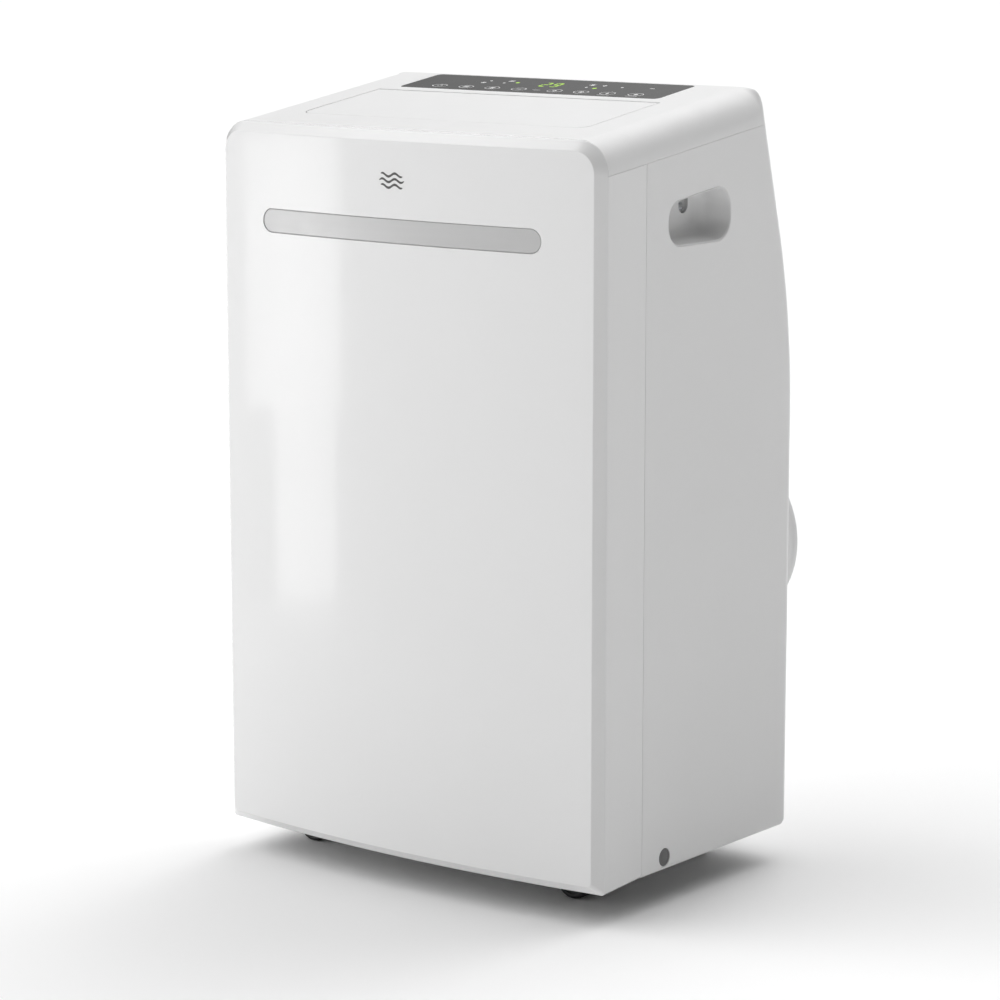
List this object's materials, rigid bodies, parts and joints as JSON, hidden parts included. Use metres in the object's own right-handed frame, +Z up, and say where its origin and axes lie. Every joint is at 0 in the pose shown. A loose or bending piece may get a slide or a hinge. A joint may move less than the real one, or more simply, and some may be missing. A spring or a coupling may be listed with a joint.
{
  "type": "portable air conditioner",
  "caption": "Upright portable air conditioner on castors: bowed gloss front, sloping top with motor flap and touch panel, side grips, rear filters and round exhaust collar.",
  "frame": {"origin": "middle of the footprint, on the floor under the castor wheels", "axes": "+Z up, -Y towards the front panel, +Y towards the exhaust collar, +X to the right seen from the front"},
  "size_m": [0.46, 0.396, 0.7604],
  "materials": {
    "gloss_white": "high gloss moulded front",
    "satin_white": "satin moulded casing",
    "inner_grey": "plain moulded inner part",
    "silver_trim": "satin silver trim",
    "dark_glass": "smooth dark touch panel",
    "grey_plastic": "mid grey moulded plug",
    "black_plastic": "black moulded nylon",
    "black_rubber": "soft black bush",
    "filter_mesh": "fine woven filter mesh",
    "circuit_board": "green solder mask",
    "zinc_steel": "zinc plated sheet",
    "painted_black": "black stoved paint",
    "aluminium_fin": "bare fin stock",
    "copper_tube": "bright copper tube"
  },
  "bodies": {
    "casing": {"front_panel": "gloss_white", "front_strip": "silver_trim", "rear_panel": "satin_white", "top_cover": "satin_white", "base_tray": "inner_grey", "divider_deck": "inner_grey", "control_panel": "dark_glass", "control_board": "circuit_board", "flap_motor": "inner_grey", "outlet_duct": "inner_grey", "exhaust_collar": "satin_white", "cord_gland": "black_rubber", "compressor": "painted_black", "accumulator": "painted_black", "evaporator_coil": "aluminium_fin", "condenser_coil": "aluminium_fin", "evaporator_scroll": "inner_grey", "evaporator_motor": "painted_black", "condenser_scroll": "inner_grey", "condenser_motor": "painted_black", "slinger_motor": "painted_black", "electrical_box": "zinc_steel", "suction_pipe": "copper_tube", "discharge_pipe": "copper_tube", "right_side_panel": "satin_white", "right_handle_pocket": "satin_white", "right_handle_screw": "zinc_steel", "right_side_plug": "grey_plastic", "left_side_panel": "satin_white", "left_handle_pocket": "satin_white", "left_handle_screw": "zinc_steel", "left_side_plug": "grey_plastic"},
    "flap": {"outlet_flap": "satin_white"},
    "vane_1": {"air_vane_1": "black_plastic"},
    "vane_2": {"air_vane_2": "black_plastic"},
    "vane_3": {"air_vane_3": "black_plastic"},
    "vane_4": {"air_vane_4": "black_plastic"},
    "vane_5": {"air_vane_5": "black_plastic"},
    "link": {"vane_link": "black_plastic"},
    "evaporator_fan": {"evaporator_wheel": "black_plastic"},
    "condenser_fan": {"condenser_wheel": "black_plastic"},
    "slinger": {"slinger_wheel": "black_plastic"},
    "upper_filter_panel": {"upper_intake_grille": "satin_white", "upper_filter": "filter_mesh"},
    "lower_filter_panel": {"lower_intake_grille": "satin_white", "lower_filter": "filter_mesh"},
    "upper_drain_plug": {"upper_drain_cap": "grey_plastic"},
    "lower_drain_plug": {"lower_drain_cap": "grey_plastic"},
    "front_right_castor": {"castor_front_right_fork": "black_plastic"},
    "front_right_wheel_a": {"castor_front_right_wheel_a": "black_plastic"},
    "front_right_wheel_b": {"castor_front_right_wheel_b": "black_plastic"},
    "front_left_castor": {"castor_front_left_fork": "black_plastic"},
    "front_left_wheel_a": {"castor_front_left_wheel_a": "black_plastic"},
    "front_left_wheel_b": {"castor_front_left_wheel_b": "black_plastic"},
    "rear_right_castor": {"castor_rear_right_fork": "black_plastic"},
    "rear_right_wheel_a": {"castor_rear_right_wheel_a": "black_plastic"},
    "rear_right_wheel_b": {"castor_rear_right_wheel_b": "black_plastic"},
    "rear_left_castor": {"castor_rear_left_fork": "black_plastic"},
    "rear_left_wheel_a": {"castor_rear_left_wheel_a": "black_plastic"},
    "rear_left_wheel_b": {"castor_rear_left_wheel_b": "black_plastic"}
  },
  "joints": [
    {"name": "flap_hinge", "type": "hinge", "parent": "casing", "child": "flap", "pos_m": [0, -0.01429, 0.74252], "axis": [-1, 0, 0], "range_deg": [0, 60]},
    {"name": "vane_1_swing", "type": "hinge", "parent": "casing", "child": "vane_1", "pos_m": [-0.12, 0, 0.694], "axis": [0, 1, 0], "range_deg": [-35, 35]},
    {"name": "vane_2_swing", "type": "hinge", "parent": "casing", "child": "vane_2", "pos_m": [-0.06, 0, 0.694], "axis": [0, 1, 0], "range_deg": [-35, 35]},
    {"name": "vane_3_swing", "type": "hinge", "parent": "casing", "child": "vane_3", "pos_m": [0, 0, 0.694], "axis": [0, 1, 0], "range_deg": [-35, 35]},
    {"name": "vane_4_swing", "type": "hinge", "parent": "casing", "child": "vane_4", "pos_m": [0.06, 0, 0.694], "axis": [0, 1, 0], "range_deg": [-35, 35]},
    {"name": "vane_5_swing", "type": "hinge", "parent": "casing", "child": "vane_5", "pos_m": [0.12, 0, 0.694], "axis": [0, 1, 0], "range_deg": [-35, 35]},
    {"name": "vane_link_slide", "type": "slide", "parent": "casing", "child": "link", "axis": [1, 0, 0], "range_m": [-0.009, 0.009]},
    {"name": "evaporator_fan_spin", "type": "hinge", "parent": "casing", "child": "evaporator_fan", "pos_m": [-0.075, -0.07, 0.54], "axis": [0, 1, 0], "continuous": true},
    {"name": "condenser_fan_spin", "type": "hinge", "parent": "casing", "child": "condenser_fan", "pos_m": [0.1, -0.03, 0.235], "axis": [1, 0, 0], "continuous": true},
    {"name": "slinger_spin", "type": "hinge", "parent": "casing", "child": "slinger", "pos_m": [0.01, 0.07, 0.104], "axis": [0, 1, 0], "continuous": true},
    {"name": "upper_filter_pull", "type": "slide", "parent": "casing", "child": "upper_filter_panel", "axis": [0, 1, 0], "range_m": [0, 0.08]},
    {"name": "lower_filter_pull", "type": "slide", "parent": "casing", "child": "lower_filter_panel", "axis": [0, 1, 0], "range_m": [0, 0.08]},
    {"name": "upper_drain_pull", "type": "slide", "parent": "casing", "child": "upper_drain_plug", "axis": [0, 1, 0], "range_m": [0, 0.03]},
    {"name": "lower_drain_pull", "type": "slide", "parent": "casing", "child": "lower_drain_plug", "axis": [0, 1, 0], "range_m": [0, 0.03]},
    {"name": "front_right_castor_swivel", "type": "hinge", "parent": "casing", "child": "front_right_castor", "pos_m": [0.163, -0.103, 0.04], "axis": [0, 0, 1], "continuous": true},
    {"name": "front_right_wheel_a_roll", "type": "hinge", "parent": "front_right_castor", "child": "front_right_wheel_a", "pos_m": [0.149, -0.103, 0.019], "axis": [0, 1, 0], "continuous": true},
    {"name": "front_right_wheel_b_roll", "type": "hinge", "parent": "front_right_castor", "child": "front_right_wheel_b", "pos_m": [0.149, -0.103, 0.019], "axis": [0, 1, 0], "continuous": true},
    {"name": "front_left_castor_swivel", "type": "hinge", "parent": "casing", "child": "front_left_castor", "pos_m": [-0.163, -0.103, 0.04], "axis": [0, 0, 1], "continuous": true},
    {"name": "front_left_wheel_a_roll", "type": "hinge", "parent": "front_left_castor", "child": "front_left_wheel_a", "pos_m": [-0.177, -0.103, 0.019], "axis": [0, 1, 0], "continuous": true},
    {"name": "front_left_wheel_b_roll", "type": "hinge", "parent": "front_left_castor", "child": "front_left_wheel_b", "pos_m": [-0.177, -0.103, 0.019], "axis": [0, 1, 0], "continuous": true},
    {"name": "rear_right_castor_swivel", "type": "hinge", "parent": "casing", "child": "rear_right_castor", "pos_m": [0.163, 0.085, 0.04], "axis": [0, 0, 1], "continuous": true},
    {"name": "rear_right_wheel_a_roll", "type": "hinge", "parent": "rear_right_castor", "child": "rear_right_wheel_a", "pos_m": [0.149, 0.085, 0.019], "axis": [0, 1, 0], "continuous": true},
    {"name": "rear_right_wheel_b_roll", "type": "hinge", "parent": "rear_right_castor", "child": "rear_right_wheel_b", "pos_m": [0.149, 0.085, 0.019], "axis": [0, 1, 0], "continuous": true},
    {"name": "rear_left_castor_swivel", "type": "hinge", "parent": "casing", "child": "rear_left_castor", "pos_m": [-0.163, 0.085, 0.04], "axis": [0, 0, 1], "continuous": true},
    {"name": "rear_left_wheel_a_roll", "type": "hinge", "parent": "rear_left_castor", "child": "rear_left_wheel_a", "pos_m": [-0.177, 0.085, 0.019], "axis": [0, 1, 0], "continuous": true},
    {"name": "rear_left_wheel_b_roll", "type": "hinge", "parent": "rear_left_castor", "child": "rear_left_wheel_b", "pos_m": [-0.177, 0.085, 0.019], "axis": [0, 1, 0], "continuous": true}
  ],
  "couplings": [
    {"joint": "vane_2_swing", "follows": "vane_1_swing", "ratio": 1},
    {"joint": "vane_3_swing", "follows": "vane_1_swing", "ratio": 1},
    {"joint": "vane_4_swing", "follows": "vane_1_swing", "ratio": 1},
    {"joint": "vane_5_swing", "follows": "vane_1_swing", "ratio": 1},
    {"joint": "vane_link_slide", "follows": "vane_1_swing", "m_per_rad": -0.014}
  ]
}
